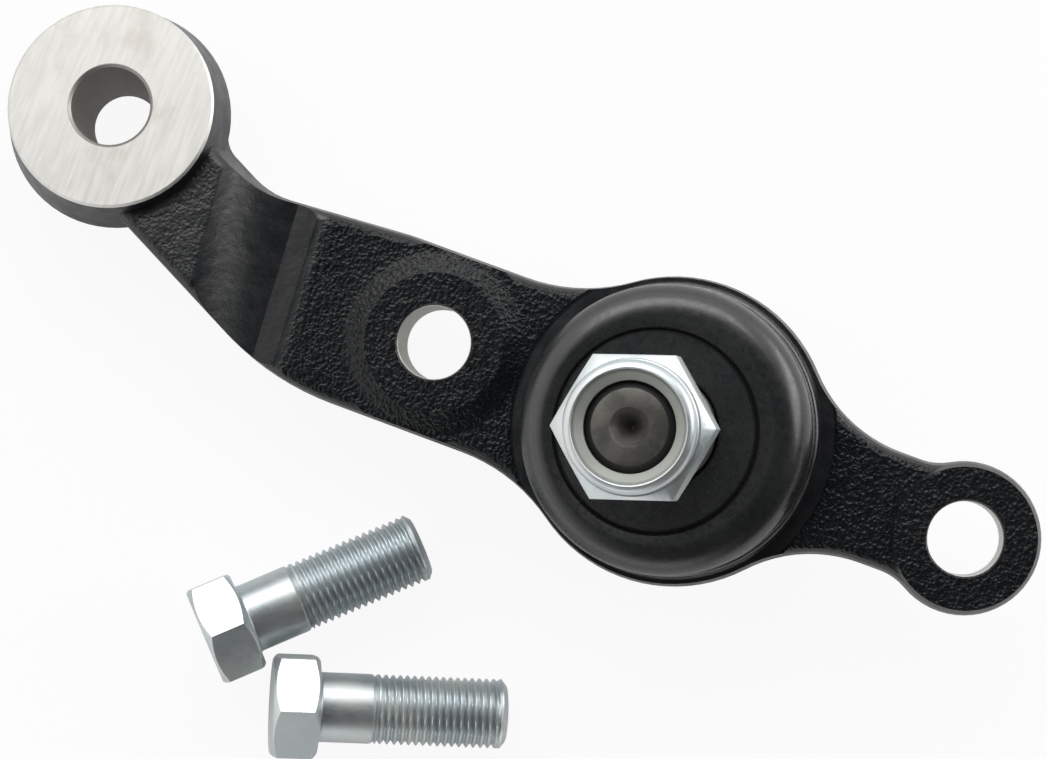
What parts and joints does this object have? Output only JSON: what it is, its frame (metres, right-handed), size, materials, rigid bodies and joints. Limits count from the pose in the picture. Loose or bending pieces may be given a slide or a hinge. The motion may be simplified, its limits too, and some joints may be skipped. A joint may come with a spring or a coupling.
{
  "type": "suspension ball joint",
  "caption": "Lower suspension ball joint in a forged steering arm, with a booted taper stud, its locknut, a cranked neck to a tapered tie-rod boss, and loose mounting bolts.",
  "frame": {"origin": "midway between the two knuckle bolt holes, on the face that bolts to the steering knuckle", "axes": "+X from the tie-rod boss's side along the line of the two bolt holes to the small eye, +Z along the bolt holes' axes towards the ball stud's side, +Y towards the side that the boss is offset to"},
  "size_m": [0.192, 0.1127, 0.0827],
  "materials": {
    "coated_forging": "black e-coat on a forged skin, satin",
    "seat_resin": "moulded acetal resin",
    "spring_steel": "oiled spring steel",
    "cover_steel": "black coated pressing",
    "stud_steel": "phosphated turned steel",
    "boot_rubber": "moulded rubber, slight sheen",
    "ring_steel": "plain spring wire and strip",
    "zinc_plate": "bright zinc plate",
    "insert_nylon": "grey nylon"
  },
  "bodies": {
    "housing": {"knuckle_arm": "coated_forging", "upper_seat": "seat_resin", "lower_seat": "seat_resin", "pressure_plate": "spring_steel", "preload_spring": "spring_steel", "cover_plate": "cover_steel", "boot_base_ring": "ring_steel"},
    "boot_turn": {"boot": "boot_rubber"},
    "boot_neck": {"boot_neck_ring": "ring_steel"},
    "stud": {"ball_stud": "stud_steel"},
    "insert": {"nut_insert": "insert_nylon"},
    "nut": {"stud_nut": "zinc_plate"},
    "bolt_a": {"mounting_bolt_a": "zinc_plate"},
    "bolt_b": {"mounting_bolt_b": "zinc_plate"}
  },
  "joints": [
    {"name": "stud_azimuth", "type": "hinge", "parent": "housing", "child": "boot_turn", "pos_m": [-0.0045, 0, 0.0095], "axis": [0, 0, 1], "continuous": true},
    {"name": "stud_swing", "type": "hinge", "parent": "boot_turn", "child": "boot_neck", "pos_m": [-0.0045, 0, 0.0095], "axis": [0.5358, -0.8443, 0], "range_deg": [-28.4, 21.6], "deforming": ["boot"]},
    {"name": "stud_spin", "type": "hinge", "parent": "boot_neck", "child": "stud", "pos_m": [-0.0045, 0, 0.0095], "axis": [-0.0501, -0.0318, 0.9982], "continuous": true},
    {"name": "nut_run", "type": "slide", "parent": "stud", "child": "insert", "axis": [-0.0501, -0.0318, 0.9982], "range_m": [-0.00751, 0.01501]},
    {"name": "nut_turn", "type": "hinge", "parent": "insert", "child": "nut", "pos_m": [-0.00725, -0.00175, 0.0644], "axis": [-0.0501, -0.0318, 0.9982], "range_deg": [-1800, 3600]},
    {"name": "bolt_a_lift", "type": "slide", "parent": "housing", "child": "bolt_a", "axis": [0.1084, 0, 0.9941], "range_m": [0, 0.06]},
    {"name": "bolt_b_lift", "type": "slide", "parent": "housing", "child": "bolt_b", "axis": [0.1084, 0, 0.9941], "range_m": [0, 0.06]}
  ],
  "couplings": [
    {"joint": "nut_run", "follows": "nut_turn", "m_per_rad": 0.00023873}
  ]
}
